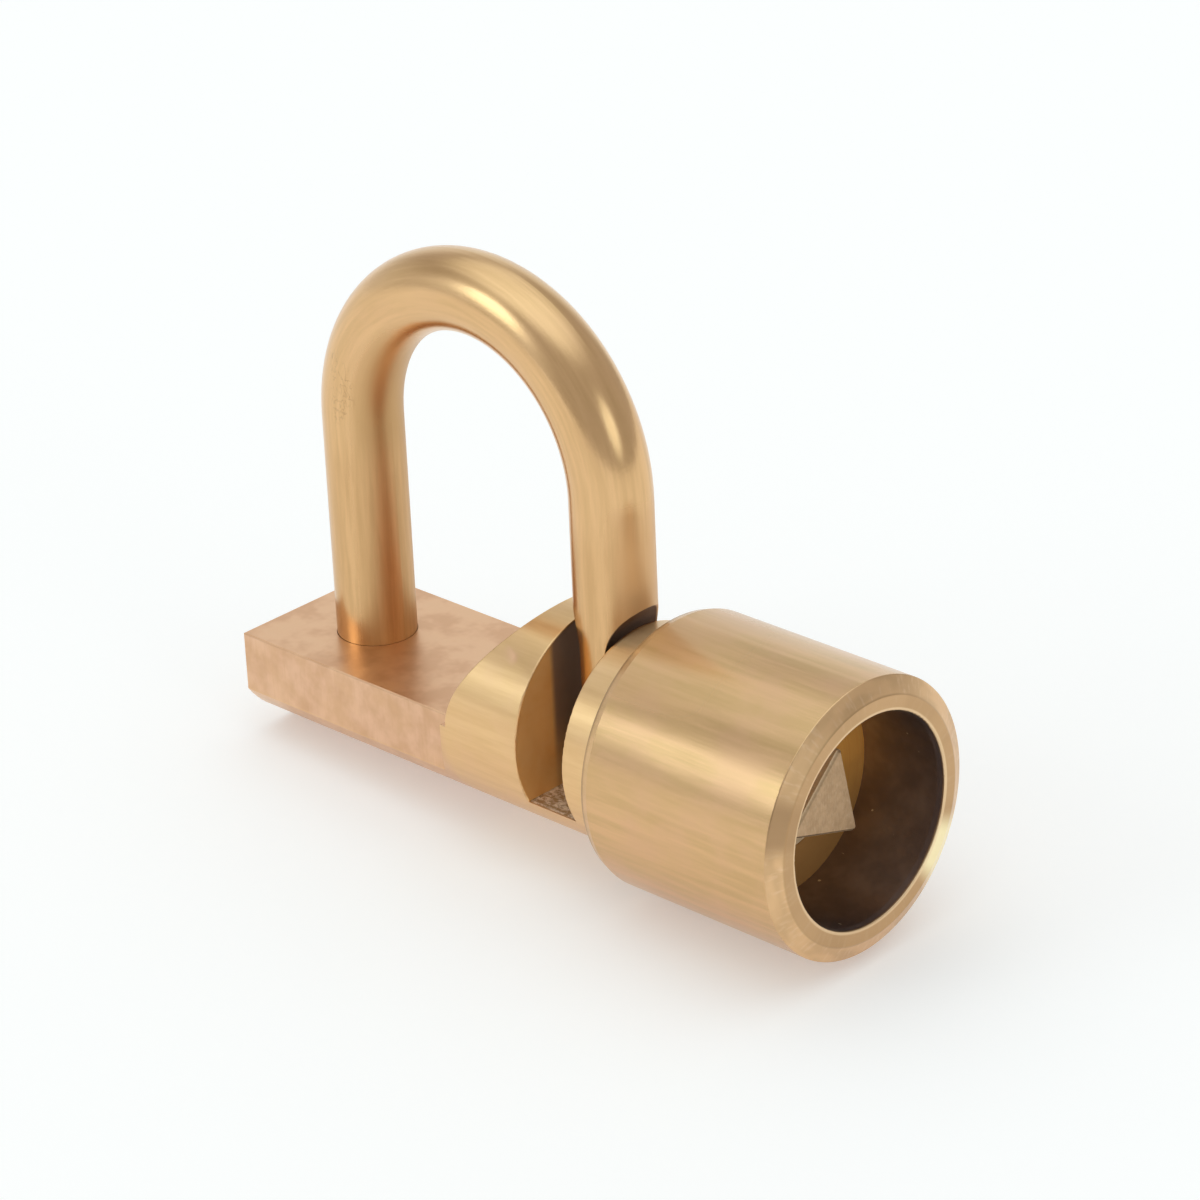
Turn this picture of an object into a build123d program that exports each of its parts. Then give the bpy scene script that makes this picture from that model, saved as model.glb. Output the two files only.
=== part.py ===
from build123d import *
import math
import os

# Screw-worked padlock, cut from round bar, with a hooked shackle of round rod.
# Millimetres.  The bar lies along X with its axis on the X axis.  The shackle stands up
# along +Z, and the origin is on the bar's axis midway between the shackle's two legs.
# +X points to the key socket.  Drawn unlocked: the bolt is drawn back, the shackle closed.

# Shackle
ROD_R = 4.0
LEG_X = 16.5
BEND_Z = 23.4
HEEL_FOOT_Z = -8.9

# Bar: a flat-topped block at the heel, a round web, a slot, a ring and a spigot
BAR_R = 11.0
BLOCK_END_X = -26.4
RING_END_X = 24.0
SPIGOT_END_X = 36.2
SPIGOT_R = 10.5
SIDE_FLAT_Y = 9.1
CUTTER_R = 12.7
TOP_FLAT_END_X = 9.8
SIDE_FLAT_END_X = 3.2
SLOT_LEFT_X = 13.2
SLOT_RIGHT_X = 19.2
SLOT_FLOOR_Z = -5.6
END_BREAK = 0.25
EDGE_BREAK = 0.15

# Free leg's end: milled on both sides to a tongue, with round run-outs, and cross-drilled
TONGUE_LEFT_X = 15.3
TONGUE_RIGHT_X = 18.2
TONGUE_FOOT_Z = -4.8
SHOULDER_Z = 8.3
SHOULDER_R = 6.7
BOLT_HOLE_R = 2.7

# Guard tube: a broad chamfer at its mouth and a faint one where it meets the ring
TUBE_R = 13.7
TUBE_END_X = 47.5
MOUTH_CHAMFER_RADIAL = 1.75
MOUTH_CHAMFER_AXIAL = 0.87
INNER_CHAMFER_RADIAL = 0.3
INNER_CHAMFER_AXIAL = 0.9

# Spindle and the disc that holds it in
HEAD_R = 5.7
HEAD_TURN = 72.6
HEAD_END_X = 42.6
HEAD_BREAK = 0.25
HEAD_CORNER_R = 0.4
FLOOR_X = 37.8
JOURNAL_R = 6.0
COLLAR_R = 7.0
COLLAR_LEFT_X = 34.25
STEM_R = 3.95
STEM_END_X = 27.0

# Locking bolt, drawn back
BOLT_R = 6.0
BOLT_LEFT_X = 25.5
BOLT_RIGHT_X = 34.1
BOLT_THREAD_END_X = 26.8
NOSE_R = 2.5
NOSE_TIP_X = 19.4
NOSE_CHAMFER = 0.4
BOLT_TRAVEL = 3.75

# Pins
PIN_R = 1.25
HEEL_PIN_Z = -4.6
HEEL_PIN_TIP_Y = -6.0
KEY_PIN_X = 27.5
KEY_PIN_TIP_Z = 4.9
KEY_PIN_TOP_Z = 10.4
KEYWAY_FLOOR_Z = 4.8

# Clearances, and how near counts as touching
RUN_GAP = 0.05
END_GAP = 0.1
TOUCH = 0.01


def x_cylinder(radius, x_start, x_end):
    """A solid cylinder on the bar's axis between two X stations."""
    middle = Location(((x_start + x_end) / 2, 0, 0), (0, 90, 0))
    return middle * Cylinder(radius, x_end - x_start)


def y_cylinder(radius, x, z, y_start, y_end):
    """A solid cylinder along Y."""
    middle = Location((x, (y_start + y_end) / 2, z), (90, 0, 0))
    return middle * Cylinder(radius, y_end - y_start)


def z_cylinder(radius, x, y, z_start, z_end):
    """A solid cylinder along Z."""
    middle = Location((x, y, (z_start + z_end) / 2))
    return middle * Cylinder(radius, z_end - z_start)


def block(x_start, x_end, y_start, y_end, z_start, z_end):
    """A box given by its two corners."""
    middle = Location(((x_start + x_end) / 2, (y_start + y_end) / 2, (z_start + z_end) / 2))
    return middle * Box(x_end - x_start, y_end - y_start, z_end - z_start)


def solid_of_revolution(points):
    """A closed outline of (x, radius) points, turned about the bar's axis."""
    outline = make_face(Polyline(*[(x, 0, radius) for x, radius in points], close=True))
    return revolve(outline, Axis.X, 360)


def milled_flats():
    """The metal milled off the bar's heel end: one top flat and two side flats.

    Each cut runs in from the end and stops with the round wall that its cutter leaves.
    """
    beyond = BAR_R + 2
    top_centre_x = TOP_FLAT_END_X - CUTTER_R
    side_centre_x = SIDE_FLAT_END_X - CUTTER_R
    start_x = BLOCK_END_X - 2
    cuts = block(start_x, top_centre_x, -CUTTER_R, CUTTER_R, 0, beyond)
    cuts += z_cylinder(CUTTER_R, top_centre_x, 0, 0, beyond)
    for side in (-1, 1):
        y_low = min(side * SIDE_FLAT_Y, side * beyond)
        y_high = max(side * SIDE_FLAT_Y, side * beyond)
        cuts += block(start_x, side_centre_x, y_low, y_high, -CUTTER_R, CUTTER_R)
        cuts += y_cylinder(CUTTER_R, side_centre_x, 0, y_low, y_high)
    return cuts


def lies_at(edge, x):
    """Whether an edge lies wholly in the plane at one X station."""
    box = edge.bounding_box()
    return abs(box.min.X - x) < TOUCH and abs(box.max.X - x) < TOUCH


def break_edges(body):
    """Take the sharpness off the block's end, the shoulder, the slot and the flats' edges."""
    body = fillet(body.edges().filter_by(lambda edge: lies_at(edge, BLOCK_END_X)), END_BREAK)
    shoulder = body.edges().filter_by(GeomType.BSPLINE).sort_by(Axis.Z)[-1]
    body = fillet(shoulder, EDGE_BREAK)
    for x in (SLOT_LEFT_X, SLOT_RIGHT_X):
        rim = body.edges().filter_by(GeomType.CIRCLE).filter_by(lambda edge: lies_at(edge, x))
        body = fillet(rim, EDGE_BREAK)
    wedge_side = EDGE_BREAK * math.sqrt(2)
    length = SIDE_FLAT_END_X - BLOCK_END_X
    for y in (-SIDE_FLAT_Y, SIDE_FLAT_Y):
        middle = Location(((SIDE_FLAT_END_X + BLOCK_END_X) / 2, y, 0), (45, 0, 0))
        body -= middle * Box(length, wedge_side, wedge_side)
    return body


def make_lock_body():
    """The bar: block, web, slot, ring and spigot, with every bore in it."""
    body = x_cylinder(BAR_R, BLOCK_END_X, RING_END_X)
    body -= milled_flats()
    body -= block(SLOT_LEFT_X, SLOT_RIGHT_X, -BAR_R - 1, BAR_R + 1, SLOT_FLOOR_Z, BAR_R + 1)
    body = break_edges(body)
    body += x_cylinder(SPIGOT_R, RING_END_X, SPIGOT_END_X)

    heel_bore_floor_z = HEEL_FOOT_Z - END_GAP
    body -= z_cylinder(ROD_R + RUN_GAP, -LEG_X, 0, heel_bore_floor_z, 1)
    body -= y_cylinder(PIN_R, -LEG_X - ROD_R, HEEL_PIN_Z, HEEL_PIN_TIP_Y, BAR_R)

    bolt_bore_end_x = BOLT_LEFT_X - BOLT_TRAVEL - 3 * RUN_GAP
    body -= x_cylinder(NOSE_R + RUN_GAP, SLOT_RIGHT_X - 1, bolt_bore_end_x + 1)
    body -= x_cylinder(BOLT_R + RUN_GAP, bolt_bore_end_x, SPIGOT_END_X)
    body -= x_cylinder(COLLAR_R + RUN_GAP, COLLAR_LEFT_X - RUN_GAP, SPIGOT_END_X + 1)
    body -= z_cylinder(PIN_R, KEY_PIN_X, 0, BOLT_R - 1, SPIGOT_R + 1)
    return body


def make_shackle():
    """Round rod bent to a half circle, with a grooved heel and a milled free end."""
    bend_start = Plane.XY.offset(BEND_Z) * Pos(LEG_X, 0) * Circle(ROD_R)
    rod = revolve(bend_start, Axis((0, 0, BEND_Z), (0, -1, 0)), 180)
    rod += z_cylinder(ROD_R, -LEG_X, 0, HEEL_FOOT_Z, BEND_Z)
    rod += z_cylinder(ROD_R, LEG_X, 0, TONGUE_FOOT_Z, BEND_Z)

    groove_half = PIN_R + RUN_GAP
    groove_low = HEEL_PIN_Z - groove_half
    groove_high = HEEL_PIN_Z + groove_half
    groove = z_cylinder(ROD_R + 1, -LEG_X, 0, groove_low, groove_high)
    groove -= z_cylinder(ROD_R - groove_half, -LEG_X, 0, groove_low, groove_high)
    rod -= groove

    wide = ROD_R + 1
    below = TONGUE_FOOT_Z - 1
    rod -= block(LEG_X - wide, TONGUE_LEFT_X, -wide, wide, below, SHOULDER_Z)
    rod -= y_cylinder(SHOULDER_R, TONGUE_LEFT_X - SHOULDER_R, SHOULDER_Z, -wide, wide)
    rod -= block(TONGUE_RIGHT_X, LEG_X + wide, -wide, wide, below, SHOULDER_Z)
    rod -= y_cylinder(SHOULDER_R, TONGUE_RIGHT_X + SHOULDER_R, SHOULDER_Z, -wide, wide)
    return rod - x_cylinder(BOLT_HOLE_R, LEG_X - wide, LEG_X + wide)


def make_heel_pin():
    """Cross pin that lies in the heel's groove and keeps the shackle in the block."""
    return y_cylinder(PIN_R, -LEG_X - ROD_R, HEEL_PIN_Z, HEEL_PIN_TIP_Y, SIDE_FLAT_Y - END_GAP)


def make_guard_tube():
    """Tube pressed over the spigot.  It stands past the spindle's head as a deep socket."""
    tube = solid_of_revolution(
        [
            (RING_END_X, SPIGOT_R),
            (RING_END_X, TUBE_R - INNER_CHAMFER_RADIAL),
            (RING_END_X + INNER_CHAMFER_AXIAL, TUBE_R),
            (TUBE_END_X - MOUTH_CHAMFER_AXIAL, TUBE_R),
            (TUBE_END_X, TUBE_R - MOUTH_CHAMFER_RADIAL),
            (TUBE_END_X, SPIGOT_R),
        ]
    )
    mouth_start_x = TUBE_END_X - MOUTH_CHAMFER_AXIAL - TOUCH
    mouth = tube.edges().filter_by(GeomType.CIRCLE)
    mouth = mouth.filter_by(lambda edge: edge.bounding_box().min.X > mouth_start_x)
    return fillet(mouth, EDGE_BREAK)


def make_spindle_retainer():
    """Disc pressed into the tube.  It is the socket's floor and holds the spindle in."""
    disc = x_cylinder(SPIGOT_R, SPIGOT_END_X, FLOOR_X)
    return disc - x_cylinder(JOURNAL_R + RUN_GAP, SPIGOT_END_X, FLOOR_X)


def make_spindle():
    """Triangular head, journal, collar and threaded stem, the thread drawn plain."""
    collar_right_x = SPIGOT_END_X - RUN_GAP
    tip_chamfer = STEM_R / 6
    spindle = solid_of_revolution(
        [
            (STEM_END_X, 0),
            (STEM_END_X, STEM_R - tip_chamfer),
            (STEM_END_X + tip_chamfer, STEM_R),
            (COLLAR_LEFT_X, STEM_R),
            (COLLAR_LEFT_X, COLLAR_R),
            (collar_right_x, COLLAR_R),
            (collar_right_x, JOURNAL_R),
            (FLOOR_X, JOURNAL_R),
            (FLOOR_X, 0),
        ]
    )
    floor_plane = Plane(origin=(FLOOR_X, 0, 0), x_dir=(0, 1, 0), z_dir=(1, 0, 0))
    triangle = RegularPolygon(HEAD_R, 3, rotation=HEAD_TURN)
    triangle = fillet(triangle.vertices(), HEAD_CORNER_R)
    head = extrude(floor_plane * triangle, HEAD_END_X - FLOOR_X)
    head = chamfer(head.faces().sort_by(Axis.X)[-1].edges(), HEAD_BREAK)
    return spindle + head


def make_locking_bolt():
    """Round plunger with a nose for the shackle's hole, a threaded bore and a keyway."""
    bolt = solid_of_revolution(
        [
            (NOSE_TIP_X, 0),
            (NOSE_TIP_X, NOSE_R - NOSE_CHAMFER),
            (NOSE_TIP_X + NOSE_CHAMFER, NOSE_R),
            (BOLT_LEFT_X, NOSE_R),
            (BOLT_LEFT_X, BOLT_R),
            (BOLT_RIGHT_X, BOLT_R),
            (BOLT_RIGHT_X, 0),
        ]
    )
    bolt -= x_cylinder(STEM_R + RUN_GAP, BOLT_THREAD_END_X, BOLT_RIGHT_X + 1)
    half_width = PIN_R + RUN_GAP
    keyway_start_x = KEY_PIN_X - half_width
    bolt -= block(keyway_start_x, BOLT_RIGHT_X + 1, -half_width, half_width, KEYWAY_FLOOR_Z, BOLT_R + 1)
    return bolt


def make_bolt_key_pin():
    """Radial pin under the tube.  It stands in the keyway, so the bolt can't turn."""
    return z_cylinder(PIN_R, KEY_PIN_X, 0, KEY_PIN_TIP_Z, KEY_PIN_TOP_Z)


NODES = {
    "lock_body": make_lock_body,
    "shackle": make_shackle,
    "heel_pin": make_heel_pin,
    "guard_tube": make_guard_tube,
    "spindle_retainer": make_spindle_retainer,
    "spindle": make_spindle,
    "locking_bolt": make_locking_bolt,
    "bolt_key_pin": make_bolt_key_pin,
}

os.makedirs("parts", exist_ok=True)
for node, make in NODES.items():
    solid = make().solid()
    solid.label = node
    export_step(solid, f"parts/{node}.step")
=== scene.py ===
import bpy
import math
from mathutils import Matrix, Vector

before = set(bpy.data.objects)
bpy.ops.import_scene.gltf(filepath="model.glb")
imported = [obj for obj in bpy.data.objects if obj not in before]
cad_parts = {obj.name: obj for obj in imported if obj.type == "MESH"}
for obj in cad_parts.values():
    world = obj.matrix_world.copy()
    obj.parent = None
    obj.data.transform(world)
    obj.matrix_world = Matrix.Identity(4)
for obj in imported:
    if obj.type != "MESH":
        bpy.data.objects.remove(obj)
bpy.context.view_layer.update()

# A screw-worked brass padlock in a soft white studio.  Blender works in metres, in the shared
# frame: the bar lies along X with its axis on the X axis, the shackle stands up along +Z, and
# the key socket is at the +X end.
MM = 0.001

# Camera: where it stands round the lock in degrees, its aim point and its distance.
CAMERA_AZIMUTH = 44.22
CAMERA_ELEVATION = 25.63
CAMERA_ROLL = 2.53
CAMERA_AIM = Vector((12.69, 1.85, 11.15)) * MM
CAMERA_DISTANCE = 425.6 * MM
SENSOR_WIDTH = 36.0
FOCAL_LENGTH = 135.07
CLIP_START = 0.01
CLIP_END = 10

# Floor: the lock rests on the lower edge of the block's end and on the tube's inner edge.
REST_LEFT = Vector((-26.15, 0, -11.0)) * MM
REST_RIGHT = Vector((24.9, 0, -13.7)) * MM
FLOOR_HALF = 6.0
FLOOR_COLOUR = (0.832, 0.811, 0.792)
FLOOR_GLOW = 0.27

# Soft boxes: longitude and latitude of the centre, inner and outer half angle, strength.
SOFT_BOXES = (
    (-117, 27, 6, 17, 1.75),
    (-120, 24, 8, 32, 0.36),
    (-4, 18, 6, 18, 1.12),
    (150, 84, 25, 50, 0.62),
    (130, 0, 10, 45, 0.48),
    (-170, -5, 10, 40, 0.30),
    (-80, 80, 10, 40, 0.20),
)
BOX_COLOUR = (0.84, 1.0, 1.07)
ROOM_STRENGTH = 0.52
ROOM_COLOUR = (1.0, 0.985, 0.965)

# Places on the lock in millimetres, for putting each finish where it belongs.
BAR_R = 11.0
TOP_FLAT_Z = 0.0
WEB_START_X = 3.0
FLATS_END_X = 10.0
SLOT_LEFT_X = 13.2
SLOT_RIGHT_X = 19.2
SLOT_FLOOR_Z = -5.6
SLOT_SHADE_Y = -5.1
RING_END_X = 24.0
CHAMFER_START_X = 46.6
TUBE_MOUTH_X = 47.5
TUBE_BORE_R = 10.5
HEAD_FACE_X = 42.6
ROD_R = 4.0
LEG_X = 16.5
BEND_Z = 23.4
SHOULDER_Z = 8.3
CUT_TOP_Z = 14.0
MARKS_X = -15.2
MARKS_Z = 27.5
# Where the painted shade on the heel leg's inner side ends.
HEEL_SHADE_END_X = -4.0

# Places round the tube's mouth, as angles in radians from +Y towards +Z.
SHADE_ANGLE = 2.8
GLINT_ANGLE = -0.62

# Brass colours, linear.  A pair runs from the low end of a texture to its high end.
TUBE_STREAKS = (0.608, 0.392, 0.183), (0.733, 0.461, 0.24)
TUBE_CLOUD = (0.715, 0.432, 0.25)
TUBE_SATIN_TINT = (0.96, 0.94, 0.86)
TUBE_JOINT_SHADE = (0.36, 0.22, 0.11)
FACED_PATCHES = (0.64, 0.41, 0.215), (0.76, 0.49, 0.26)
FACED_STROKE = (0.86, 0.62, 0.40)
FACED_SHADE = (0.42, 0.26, 0.135)
FACED_MOUTH = (0.48, 0.29, 0.14)
FACED_GLINT = (1.0, 0.86, 0.52)
LIP_HIGHLIGHT = (0.93, 0.69, 0.42)
BORE_DARK_MOTTLE = (0.22, 0.182, 0.185), (0.315, 0.265, 0.262)
BORE_DUST = (0.80, 0.76, 0.70)

BAR_STREAKS = (0.74, 0.475, 0.23), (0.83, 0.555, 0.28)
BAR_CLOUD = (0.80, 0.51, 0.29)
BAR_JOINT_SHADE = (0.42, 0.26, 0.13)
MILLED_PATCHES = (0.66, 0.395, 0.23), (0.80, 0.51, 0.33)
MILLED_MARK = (0.66, 0.39, 0.22)
TOP_PAINTED_LIGHT = (0.76, 0.44, 0.25), (0.90, 0.555, 0.335)
SLOT_WALLS = (0.93, 0.58, 0.23), (0.98, 0.66, 0.29)
SLOT_SHADE = (0.30, 0.20, 0.16)
SLOT_CHATTER = (0.48, 0.30, 0.15), (1.0, 0.84, 0.66)

BEND_STREAKS_PAINTED_LIGHT = (0.685, 0.43, 0.206), (0.775, 0.494, 0.248)
LEG_STREAKS = (0.612, 0.373, 0.172), (0.708, 0.439, 0.212)
ROD_CLOUD = (0.75, 0.47, 0.245)
ROD_SCRATCH = (0.40, 0.23, 0.11)
ROD_HEEL_SHADE = (0.55, 0.335, 0.15)
ROD_OUTER_LIGHT = (0.80, 0.49, 0.23)
CUT_FACE_SHADES = (0.38, 0.23, 0.11), (0.16, 0.08, 0.034)

SOCKET_RINGS = (0.96, 0.42, 0.07), (1.0, 0.50, 0.10)
SOCKET_CLOUD = (0.84, 0.37, 0.07)
SOCKET_LOW_SHADE = (0.50, 0.255, 0.08)

HEAD_SIDES = (0.86, 0.62, 0.36), (0.97, 0.74, 0.46)
HEAD_FACE = (0.515, 0.34, 0.19), (0.61, 0.41, 0.24)
HEAD_GRAIN = (0.68, 0.51, 0.35)

PIN_TURNED = (0.56, 0.35, 0.15), (0.74, 0.50, 0.25)
BOLT_TURNED = (0.57, 0.36, 0.16), (0.75, 0.51, 0.26)

# Satin places: how much less metallic they are, and where they are full.
SATIN_LOSS = -0.5
TUBE_SATIN_X = 31.0
TUBE_SATIN_Z = 11.0
RING_SATIN_Z = 10.0

# Depth of each bump in millimetres.
FINE_BUMP = 0.012
SOCKET_BUMP = 0.006
HEAD_BUMP = 0.03

# The colour sockets of a Mix node, which shares its sockets' names between data types.
MIX_FIRST = 6
MIX_SECOND = 7
MIX_RESULT = 2


# Camera and floor

def direction(longitude, latitude):
    """A unit vector from its angle about Z, counted from +X towards +Y, and its height."""
    lon = math.radians(longitude)
    lat = math.radians(latitude)
    return Vector((math.cos(lat) * math.cos(lon), math.cos(lat) * math.sin(lon), math.sin(lat)))


def camera_basis(azimuth, elevation, roll):
    """The camera's right, up and back axes for a viewing angle in degrees."""
    back = direction(azimuth - 90, elevation)
    level_right = Vector((0, 0, 1)).cross(back).normalized()
    level_up = back.cross(level_right)
    tilt = math.radians(roll)
    up = level_up * math.cos(tilt) + level_right * math.sin(tilt)
    right = up.cross(back)
    return right, up, back


def add_camera():
    """The camera at the photograph's viewing angle."""
    data = bpy.data.cameras.new("camera")
    data.sensor_width = SENSOR_WIDTH
    data.lens = FOCAL_LENGTH
    data.clip_start = CLIP_START
    data.clip_end = CLIP_END
    camera = bpy.data.objects.new("camera", data)
    bpy.context.scene.collection.objects.link(camera)
    right, up, back = camera_basis(CAMERA_AZIMUTH, CAMERA_ELEVATION, CAMERA_ROLL)
    place = Matrix((right, up, back)).transposed().to_4x4()
    place.translation = CAMERA_AIM + back * CAMERA_DISTANCE
    camera.matrix_world = place
    bpy.context.scene.camera = camera


def add_floor():
    """A wide plain floor under the two edges that the lock rests on."""
    along = (REST_RIGHT - REST_LEFT).normalized()
    across = Vector((0, 1, 0))
    corners = [
        REST_LEFT + along * (a * FLOOR_HALF) + across * (b * FLOOR_HALF)
        for a, b in ((-1, -1), (1, -1), (1, 1), (-1, 1))
    ]
    mesh = bpy.data.meshes.new("floor")
    mesh.from_pydata([tuple(c) for c in corners], [], [(0, 1, 2, 3)])
    mesh.update()
    floor = bpy.data.objects.new("floor", mesh)
    bpy.context.scene.collection.objects.link(floor)
    material = bpy.data.materials.new("floor_paper")
    material.use_nodes = True
    shader = material.node_tree.nodes["Principled BSDF"]
    shader.inputs["Base Color"].default_value = (*FLOOR_COLOUR, 1)
    shader.inputs["Roughness"].default_value = 0.9
    shader.inputs["Specular IOR Level"].default_value = 0.0
    shader.inputs["Emission Color"].default_value = (1, 1, 1, 1)
    shader.inputs["Emission Strength"].default_value = FLOOR_GLOW
    mesh.materials.append(material)


# Node graphs

class Graph:
    """A node tree with short calls for the nodes used here."""

    def __init__(self, tree):
        self.tree = tree

    def node(self, kind, **settings):
        made = self.tree.nodes.new(kind)
        for name, value in settings.items():
            setattr(made, name, value)
        return made

    def put(self, socket, value):
        """Link a node's output to a socket, or set the socket to a number or colour."""
        if isinstance(value, bpy.types.NodeSocket):
            self.tree.links.new(value, socket)
        elif socket.type == "RGBA":
            socket.default_value = (*value, 1)
        else:
            socket.default_value = value

    def math(self, operation, first, second=0.0, third=0.0):
        made = self.node("ShaderNodeMath", operation=operation)
        for socket, value in zip(made.inputs, (first, second, third)):
            self.put(socket, value)
        return made.outputs[0]

    def add(self, *values):
        total = values[0]
        for value in values[1:]:
            total = self.math("ADD", total, value)
        return total

    def times(self, *values):
        total = values[0]
        for value in values[1:]:
            total = self.math("MULTIPLY", total, value)
        return total

    def plus(self, base, mask, amount):
        """The base value, with an amount added where the mask is 1."""
        return self.math("MULTIPLY_ADD", mask, amount, base)

    def length(self, a, b):
        return self.math("SQRT", self.add(self.times(a, a), self.times(b, b)))

    def ramp(self, value, low, high, span=(0.0, 1.0)):
        """A smooth step across the span as the value goes from low to high."""
        made = self.node("ShaderNodeMapRange", interpolation_type="SMOOTHSTEP")
        for name, given in (("Value", value), ("From Min", low), ("From Max", high),
                            ("To Min", span[0]), ("To Max", span[1])):
            self.put(made.inputs[name], given)
        return made.outputs[0]

    def band(self, value, centre, half_width, softness):
        """1 near a centre value and 0 away from it."""
        distance = self.math("ABSOLUTE", self.math("SUBTRACT", value, centre))
        return self.ramp(distance, half_width + softness, half_width)

    def mix(self, factor, first, second, blend="MIX"):
        """The first colour where the factor is 0, and the second where it is 1."""
        made = self.node("ShaderNodeMix", data_type="RGBA", blend_type=blend)
        self.put(made.inputs[0], factor)
        self.put(made.inputs[MIX_FIRST], first)
        self.put(made.inputs[MIX_SECOND], second)
        return made.outputs[MIX_RESULT]

    def combine(self, x, y, z):
        made = self.node("ShaderNodeCombineXYZ")
        for socket, value in zip(made.inputs, (x, y, z)):
            self.put(socket, value)
        return made.outputs[0]

    def noise(self, vector, scale=1.0, detail=2.0, rough=0.5, distortion=0.0):
        """Noise about 0.5 on a vector."""
        made = self.node("ShaderNodeTexNoise")
        self.put(made.inputs["Vector"], vector)
        self.put(made.inputs["Scale"], scale)
        self.put(made.inputs["Detail"], detail)
        self.put(made.inputs["Roughness"], rough)
        self.put(made.inputs["Distortion"], distortion)
        return made.outputs["Fac"]


class Finish(Graph):
    """A brass material in the making, with the place on the lock in millimetres."""

    def __init__(self, name):
        self.material = bpy.data.materials.new(name)
        self.material.use_nodes = True
        super().__init__(self.material.node_tree)
        scaled = self.node("ShaderNodeVectorMath", operation="SCALE")
        self.put(scaled.inputs[0], self.node("ShaderNodeTexCoord").outputs["Object"])
        scaled.inputs["Scale"].default_value = 1 / MM
        self.place = scaled.outputs[0]
        split = self.node("ShaderNodeSeparateXYZ")
        self.put(split.inputs[0], self.place)
        self.x, self.y, self.z = split.outputs

    def stretch(self, x_scale, y_scale, z_scale):
        """The place scaled along each axis: a texture on it runs long where the scale is low."""
        made = self.node("ShaderNodeVectorMath", operation="MULTIPLY")
        self.put(made.inputs[0], self.place)
        made.inputs[1].default_value = (x_scale, y_scale, z_scale)
        return made.outputs[0]

    def done(self, colour, roughness, height, bump_mm, metallic=1.0):
        """Set the shader, with a bump of the given depth, and hand the material over."""
        shader = self.tree.nodes["Principled BSDF"]
        self.put(shader.inputs["Base Color"], colour)
        self.put(shader.inputs["Roughness"], roughness)
        self.put(shader.inputs["Metallic"], metallic)
        bump = self.node("ShaderNodeBump")
        bump.inputs["Strength"].default_value = 1.0
        bump.inputs["Distance"].default_value = bump_mm * MM
        self.put(bump.inputs["Height"], height)
        self.put(shader.inputs["Normal"], bump.outputs["Normal"])
        return self.material


# Studio light

def add_studio():
    """A pale room with soft boxes, as the world's own light."""
    world = bpy.data.worlds.new("studio")
    bpy.context.scene.world = world
    world.use_nodes = True
    graph = Graph(world.node_tree)
    where = graph.node("ShaderNodeTexCoord").outputs["Generated"]
    boxes = 0.0
    for longitude, latitude, inner, outer, power in SOFT_BOXES:
        dot = graph.node("ShaderNodeVectorMath", operation="DOT_PRODUCT")
        graph.put(dot.inputs[0], where)
        dot.inputs[1].default_value = direction(longitude, latitude)
        edge = math.cos(math.radians(outer))
        full = math.cos(math.radians(inner))
        boxes = graph.plus(boxes, graph.ramp(dot.outputs["Value"], edge, full), power)
    total = graph.math("ADD", boxes, ROOM_STRENGTH)
    colour = graph.mix(graph.math("DIVIDE", boxes, total), ROOM_COLOUR, BOX_COLOUR)
    background = world.node_tree.nodes["Background"]
    graph.put(background.inputs["Color"], colour)
    graph.put(background.inputs["Strength"], total)


# Brass finishes

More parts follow.
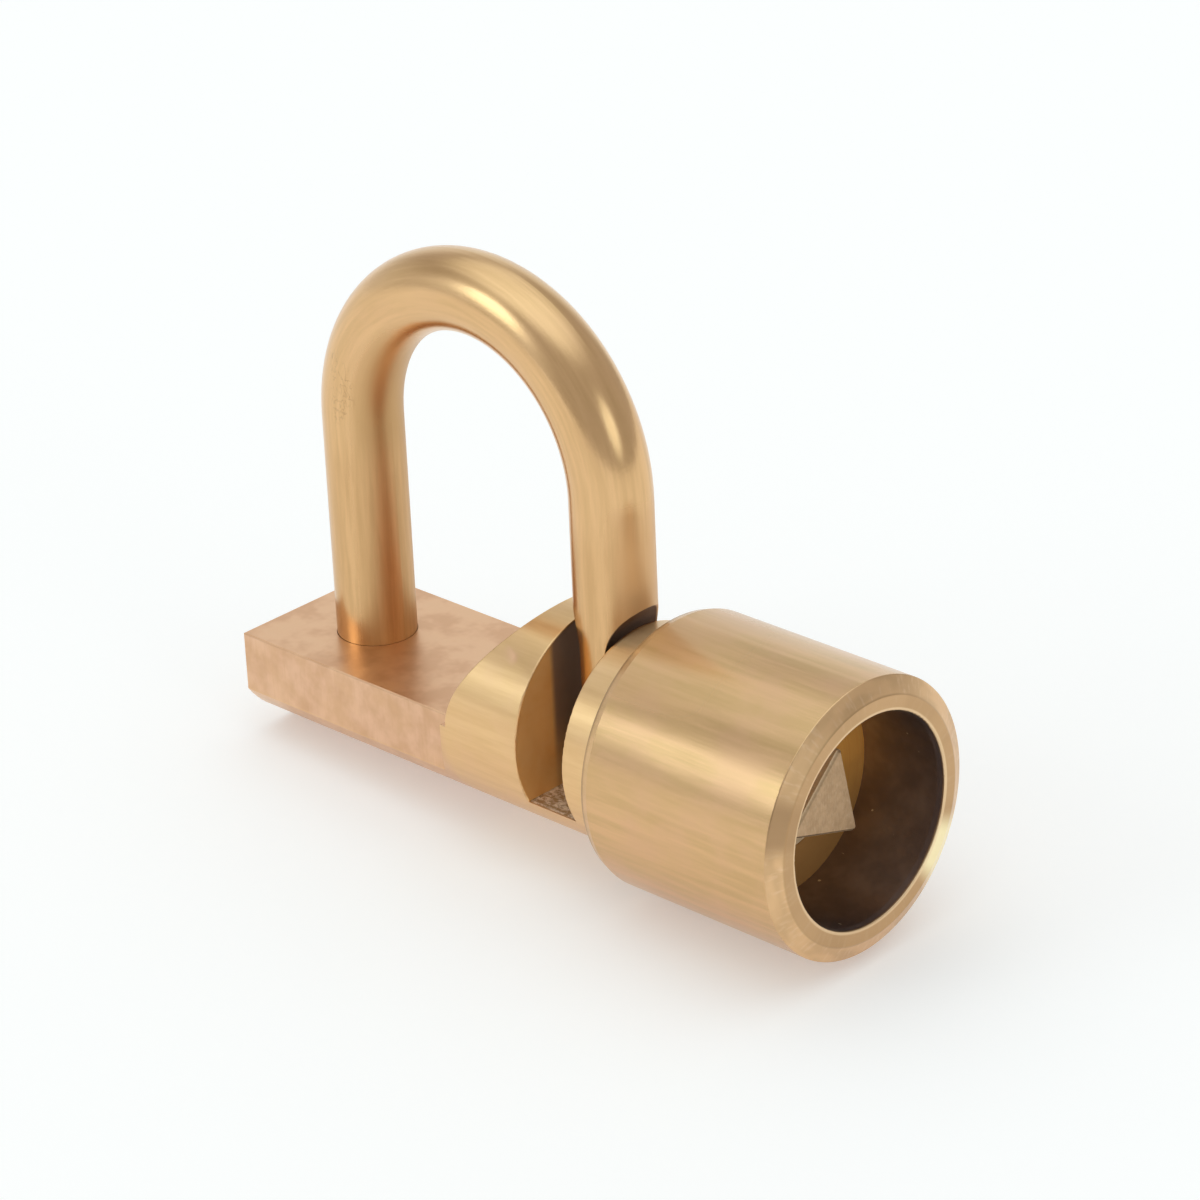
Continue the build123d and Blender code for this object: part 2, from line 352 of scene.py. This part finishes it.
def tube_brass():
    """Drawn and turned tube: long streaks, a faced mouth and a darkened bore."""
    graph = Finish("tube_brass")
    x, y, z = graph.x, graph.y, graph.z
    radius = graph.length(y, z)
    streak = graph.noise(graph.stretch(0.06, 1, 1), scale=0.9, detail=4.0, rough=0.65)
    fine = graph.noise(graph.stretch(0.05, 1, 1), scale=5.0, detail=3.0, rough=0.6)
    wave = graph.noise(graph.stretch(0.3, 1, 1), scale=0.28, detail=1.0)
    cloud = graph.noise(graph.place, scale=0.16, detail=3.0, rough=0.6)
    colour = graph.mix(graph.ramp(streak, 0.3, 0.72), *TUBE_STREAKS)
    colour = graph.mix(graph.ramp(cloud, 0.4, 0.65, span=(0.0, 0.5)), colour, TUBE_CLOUD)
    roughness = graph.add(graph.ramp(streak, 0.3, 0.7, span=(0.20, 0.24)), graph.times(fine, 0.03))
    height = graph.add(
        graph.times(streak, 0.25),
        graph.times(fine, 0.12),
        graph.times(wave, 6.0),
    )

    # The faced mouth and its chamfer: turned rings, a painted shaded place, a painted glint and a
    # painted highlight along the lip.
    turned = graph.ramp(x, CHAMFER_START_X - 0.1, CHAMFER_START_X + 0.05)
    angle = graph.math("ARCTAN2", z, y)
    around = graph.times(angle, TUBE_BORE_R)
    rings = graph.noise(graph.combine(graph.times(radius, 5.0), graph.times(around, 0.2), x))
    strokes = graph.noise(
        graph.combine(graph.times(around, 2.6), graph.times(radius, 0.5), x), detail=3.0
    )
    patch = graph.noise(graph.combine(graph.times(around, 0.22), 0.0, x))
    faced = graph.mix(graph.ramp(patch, 0.38, 0.62), *FACED_PATCHES)
    faced = graph.mix(graph.ramp(strokes, 0.5, 0.75, span=(0.0, 0.4)), faced, FACED_STROKE)
    # Painted shade on the chamfer at one angle round the mouth.
    shaded = graph.times(graph.band(angle, SHADE_ANGLE, 0.1, 0.2), 0.95)
    faced = graph.mix(shaded, faced, FACED_SHADE)
    mouth = graph.ramp(x, TUBE_MOUTH_X - 0.12, TUBE_MOUTH_X - 0.03)
    faced = graph.mix(graph.times(mouth, 0.65), faced, FACED_MOUTH)
    # Painted glint on the chamfer.
    faced = graph.mix(graph.band(angle, GLINT_ANGLE, 0.12, 0.22), faced, FACED_GLINT)
    # Painted highlight along the lip round the bore.
    lip = graph.ramp(radius, TUBE_BORE_R + 0.38, TUBE_BORE_R + 0.22)
    faced = graph.mix(graph.times(lip, 0.6), faced, LIP_HIGHLIGHT)
    colour = graph.mix(turned, colour, faced)
    roughness = graph.plus(roughness, turned, 0.10)
    height = graph.add(
        height,
        graph.times(turned, rings, 0.5),
        graph.times(turned, strokes, 0.5),
    )

    # A dark line at the tube's joint with the ring, partly painted shade in the step.
    joint = graph.ramp(x, RING_END_X + 0.45, RING_END_X + 0.1, span=(0.0, 0.7))
    colour = graph.mix(joint, colour, TUBE_JOINT_SHADE)

    # The bore: dark and mottled, with specks of dust.
    inside = graph.times(
        graph.ramp(radius, TUBE_BORE_R + 0.12, TUBE_BORE_R + 0.04),
        graph.ramp(x, TUBE_MOUTH_X - 0.05, TUBE_MOUTH_X - 0.35),
    )
    bore_mottle = graph.noise(graph.place, scale=0.22, detail=3.0, rough=0.6)
    dust = graph.noise(graph.place, scale=1.8, detail=0.0)
    bore = graph.mix(graph.ramp(bore_mottle, 0.35, 0.7), *BORE_DARK_MOTTLE)
    bore = graph.mix(graph.ramp(dust, 0.855, 0.88), bore, BORE_DUST)
    colour = graph.mix(inside, colour, bore)
    roughness = graph.plus(roughness, inside, 0.16)

    # Satin on top near the free leg, where the photograph shows no clear reflection of it.
    satin = graph.times(
        graph.ramp(z, TUBE_SATIN_Z - 3.0, TUBE_SATIN_Z),
        graph.ramp(x, TUBE_SATIN_X + 8.0, TUBE_SATIN_X),
    )
    colour = graph.mix(satin, colour, TUBE_SATIN_TINT, "MULTIPLY")
    metallic = graph.plus(1.0, satin, SATIN_LOSS)
    return graph.done(colour, roughness, height, FINE_BUMP, metallic)


def bar_brass():
    """The bar: drawn round, milled flats and a sawn slot."""
    graph = Finish("bar_brass")
    x, y, z = graph.x, graph.y, graph.z
    radius = graph.length(y, z)
    streak = graph.noise(graph.stretch(0.07, 1, 1), detail=4.0, rough=0.65)
    cloud = graph.noise(graph.place, scale=0.2, detail=3.0, rough=0.6)
    drawn = graph.mix(graph.ramp(streak, 0.3, 0.72), *BAR_STREAKS)

    # The milled flats: cross marks, and the top one painted lighter in cloudy patches, as painted
    # light.
    mill = graph.noise(graph.stretch(3.2, 0.22, 0.22), detail=3.0, rough=0.6)
    patch = graph.noise(graph.stretch(0.35, 0.12, 0.3), detail=3.0, rough=0.6)
    milled = graph.mix(graph.ramp(patch, 0.3, 0.72), *MILLED_PATCHES)
    milled = graph.mix(graph.ramp(mill, 0.5, 0.72, span=(0.0, 0.4)), milled, MILLED_MARK)
    flat = graph.times(
        graph.ramp(radius, BAR_R - 0.02, BAR_R - 0.12),
        graph.ramp(x, FLATS_END_X + 1.0, FLATS_END_X),
    )
    block = graph.ramp(x, WEB_START_X + 1.0, WEB_START_X - 1.0, span=(0.0, 0.75))
    colour = graph.mix(graph.math("MAXIMUM", flat, block), drawn, milled)
    # The top flat is painted lighter in cloudy patches, as painted light.
    top = graph.times(flat, graph.ramp(z, TOP_FLAT_Z - 0.15, TOP_FLAT_Z - 0.05))
    colour = graph.mix(top, colour, graph.mix(graph.ramp(cloud, 0.38, 0.6), *TOP_PAINTED_LIGHT))
    colour = graph.mix(graph.ramp(cloud, 0.42, 0.66, span=(0.0, 0.3)), colour, BAR_CLOUD)
    roughness = graph.add(
        graph.ramp(streak, 0.3, 0.7, span=(0.285, 0.32)),
        graph.times(flat, mill, 0.10),
    )
    height = graph.add(
        graph.times(streak, graph.ramp(flat, 0.0, 1.0, span=(0.3, 0.05))),
        graph.times(flat, mill, 0.25),
    )

    # A dark line at the ring's joint with the tube, partly painted shade in the step.
    joint = graph.ramp(x, RING_END_X - 0.4, RING_END_X - 0.05, span=(0.0, 0.6))
    colour = graph.mix(joint, colour, BAR_JOINT_SHADE)

    # The slot: smooth walls with painted shade towards the rear, behind the tongue, and a floor of
    # saw marks.
    slot = graph.times(
        graph.ramp(x, SLOT_LEFT_X - 0.05, SLOT_LEFT_X),
        graph.ramp(x, SLOT_RIGHT_X + 0.05, SLOT_RIGHT_X),
        graph.ramp(radius, BAR_R - 0.05, BAR_R - 0.2),
    )
    # Painted shade on the walls behind the tongue.
    rear = graph.times(
        graph.ramp(y, SLOT_SHADE_Y - 0.8, SLOT_SHADE_Y),
        graph.ramp(z, -4.0, 2.0, span=(0.3, 0.85)),
    )
    wall = graph.mix(graph.ramp(cloud, 0.35, 0.65), *SLOT_WALLS)
    colour = graph.mix(slot, colour, graph.mix(rear, wall, SLOT_SHADE))
    slot_floor = graph.times(slot, graph.ramp(z, SLOT_FLOOR_Z + 0.12, SLOT_FLOOR_Z + 0.04))
    chatter = graph.noise(graph.stretch(1.3, 2.6, 0), scale=0.9, detail=4.0, rough=0.75)
    sawn = graph.mix(graph.ramp(chatter, 0.42, 0.62), *SLOT_CHATTER)
    colour = graph.mix(slot_floor, colour, sawn)
    roughness = graph.plus(roughness, slot, 0.2)
    height = graph.add(
        graph.times(height, graph.math("SUBTRACT", 1.0, slot)),
        graph.times(slot_floor, chatter, 4.0),
    )

    # Satin on the ring's top, beside the free leg.
    satin = graph.times(
        graph.ramp(x, SLOT_RIGHT_X + 0.1, SLOT_RIGHT_X + 0.5),
        graph.ramp(z, RING_SATIN_Z - 3.0, RING_SATIN_Z),
    )
    metallic = graph.plus(1.0, slot, -0.15)
    metallic = graph.plus(metallic, satin, SATIN_LOSS)
    metallic = graph.plus(metallic, slot_floor, -0.35)
    return graph.done(colour, roughness, height, FINE_BUMP, metallic)


def shackle_brass():
    """Drawn rod: streaked along its length, with a few handling marks and sawn cuts."""
    graph = Finish("shackle_brass")
    x, y, z = graph.x, graph.y, graph.z
    # The rod's own coordinates: distance from the bend's centre, and length along the rod.
    past_bend = graph.math("SUBTRACT", z, BEND_Z)
    above = graph.math("MAXIMUM", past_bend, 0.0)
    below = graph.math("MINIMUM", past_bend, 0.0)
    out = graph.length(x, above)
    run = graph.add(graph.times(graph.math("ARCTAN2", above, x), LEG_X), below)
    streak = graph.noise(
        graph.combine(out, y, graph.times(run, 0.06)), scale=1.5, detail=4.0, rough=0.65
    )
    grain = graph.noise(
        graph.combine(out, y, graph.times(run, 0.5)), scale=4.5, detail=3.0, rough=0.6
    )
    cloud = graph.noise(graph.place, scale=0.17, detail=3.0, rough=0.6)
    lines = graph.ramp(streak, 0.35, 0.68)
    # The bend's streak colours are painted lighter than the legs', as painted highlight.
    colour = graph.mix(lines, *BEND_STREAKS_PAINTED_LIGHT)
    colour = graph.mix(graph.ramp(cloud, 0.42, 0.66, span=(0.0, 0.5)), colour, ROD_CLOUD)
    roughness = graph.add(graph.ramp(cloud, 0.3, 0.7, span=(0.18, 0.21)), graph.times(grain, 0.03))
    height = graph.add(graph.times(streak, 0.3), graph.times(grain, 0.4))

    # A few scratches on the heel side of the bend, towards the camera.
    vein = graph.noise(graph.stretch(1, 1, 0.45), scale=2.4, detail=1.0, distortion=0.4)
    off_vein = graph.math("ABSOLUTE", graph.math("SUBTRACT", vein, 0.5))
    worn = graph.times(
        graph.ramp(graph.noise(graph.place, scale=0.5, detail=1.0), 0.40, 0.50),
        graph.band(z, MARKS_Z, 3.0, 1.5),
        graph.band(x, MARKS_X, 0.8, 0.8),
        graph.ramp(y, -1.0, -2.0),
    )
    scratch = graph.times(graph.ramp(off_vein, 0.022, 0.006), worn)
    colour = graph.mix(graph.times(scratch, 0.4), colour, ROD_SCRATCH)
    height = graph.plus(height, scratch, -1.2)

    # Painted shade on the heel leg's inner side.
    heel_shade = graph.times(
        graph.ramp(out, LEG_X - 1.0, LEG_X - 3.4),
        graph.ramp(x, HEEL_SHADE_END_X, HEEL_SHADE_END_X - 8.0),
    )
    colour = graph.mix(graph.times(heel_shade, 0.85), colour, ROD_HEEL_SHADE)
    roughness = graph.plus(roughness, heel_shade, 0.20)

    # The bend is painted a little lighter than the straight legs, as painted highlight; the free
    # leg's outer side is satin and painted lighter, as painted light.
    straight = graph.ramp(z, BEND_Z, BEND_Z - 5.0)
    colour = graph.mix(graph.times(straight, 0.7), colour, graph.mix(lines, *LEG_STREAKS))
    roughness = graph.plus(roughness, straight, 0.03)
    # The free leg's outer side is painted lighter, as painted light, and made satin.
    outer_light = graph.times(graph.ramp(x, LEG_X + 2.4, LEG_X + 3.4), straight)
    colour = graph.mix(outer_light, colour, ROD_OUTER_LIGHT)
    satin = graph.times(
        graph.ramp(x, LEG_X + 1.6, LEG_X + 3.2),
        graph.ramp(z, BEND_Z + 1.8, BEND_Z - 0.8),
    )
    roughness = graph.plus(roughness, satin, 0.16)
    metallic = graph.plus(1.0, outer_light, SATIN_LOSS)

    # The free leg's cut faces, painted dark as painted shade, darker from the shoulder upwards.
    from_leg = graph.length(graph.math("SUBTRACT", x, LEG_X), y)
    cut = graph.times(
        graph.ramp(from_leg, ROD_R - 0.05, ROD_R - 0.25),
        graph.ramp(z, CUT_TOP_Z + 1.0, CUT_TOP_Z),
    )
    cut_shade = graph.mix(graph.ramp(z, SHOULDER_Z, SHOULDER_Z + 2.0), *CUT_FACE_SHADES)
    colour = graph.mix(cut, colour, cut_shade)
    roughness = graph.plus(roughness, cut, 0.22)
    return graph.done(colour, roughness, height, FINE_BUMP, metallic)


def floor_brass():
    """The socket's floor: turned in rings, amber, and painted darker towards the bottom as painted
    shade.
    """
    graph = Finish("floor_brass")
    radius = graph.length(graph.y, graph.z)
    rings = graph.noise(
        graph.combine(graph.times(radius, 3.5), 0.0, 0.0), detail=3.0, rough=0.7
    )
    cloud = graph.noise(graph.place, scale=0.4, detail=3.0, rough=0.6)
    colour = graph.mix(graph.ramp(rings, 0.35, 0.7), *SOCKET_RINGS)
    colour = graph.mix(graph.ramp(cloud, 0.45, 0.7, span=(0.0, 0.5)), colour, SOCKET_CLOUD)
    # Painted shade towards the bottom of the socket.
    colour = graph.mix(graph.ramp(graph.z, 2.0, -7.0, span=(0.0, 0.8)), colour, SOCKET_LOW_SHADE)
    roughness = graph.ramp(cloud, 0.3, 0.7, span=(0.30, 0.4))
    return graph.done(colour, roughness, rings, SOCKET_BUMP, metallic=0.5)


def spindle_brass():
    """The triangular head: a dull sawn face and bright milled sides."""
    graph = Finish("spindle_brass")
    mottle = graph.noise(graph.place, scale=0.9, detail=4.0, rough=0.7)
    grain = graph.noise(graph.stretch(1, 3.0, 0.8), scale=2.0, detail=3.0, rough=0.7)
    face = graph.ramp(graph.x, HEAD_FACE_X - 0.3, HEAD_FACE_X - 0.1)
    side = graph.mix(graph.ramp(grain, 0.35, 0.7), *HEAD_SIDES)
    end = graph.mix(graph.ramp(mottle, 0.35, 0.68), *HEAD_FACE)
    end = graph.mix(graph.ramp(grain, 0.45, 0.75, span=(0.0, 0.5)), end, HEAD_GRAIN)
    colour = graph.mix(face, side, end)
    roughness = graph.plus(0.30, face, 0.22)
    metallic = graph.plus(0.3, face, 0.65)
    height = graph.add(graph.times(mottle, 0.3), graph.times(grain, 0.4))
    return graph.done(colour, roughness, height, HEAD_BUMP, metallic)


def plain_brass(name, colours):
    """Turned brass for the hidden pieces."""
    graph = Finish(name)
    turned = graph.noise(graph.stretch(4.0, 0.6, 0.6), detail=3.0, rough=0.6)
    colour = graph.mix(graph.ramp(turned, 0.35, 0.7), *colours)
    roughness = graph.ramp(turned, 0.3, 0.7, span=(0.20, 0.26))
    return graph.done(colour, roughness, turned, FINE_BUMP)


def give(node_name, material):
    """Give one CAD node its finish."""
    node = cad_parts[node_name]
    node.data.materials.clear()
    node.data.materials.append(material)


add_camera()
add_floor()
add_studio()
bpy.context.scene.view_settings.view_transform = "Standard"

pin_brass = plain_brass("pin_brass", PIN_TURNED)
give("lock_body", bar_brass())
give("shackle", shackle_brass())
give("guard_tube", tube_brass())
give("spindle_retainer", floor_brass())
give("spindle", spindle_brass())
give("locking_bolt", plain_brass("bolt_brass", BOLT_TURNED))
give("heel_pin", pin_brass)
give("bolt_key_pin", pin_brass)
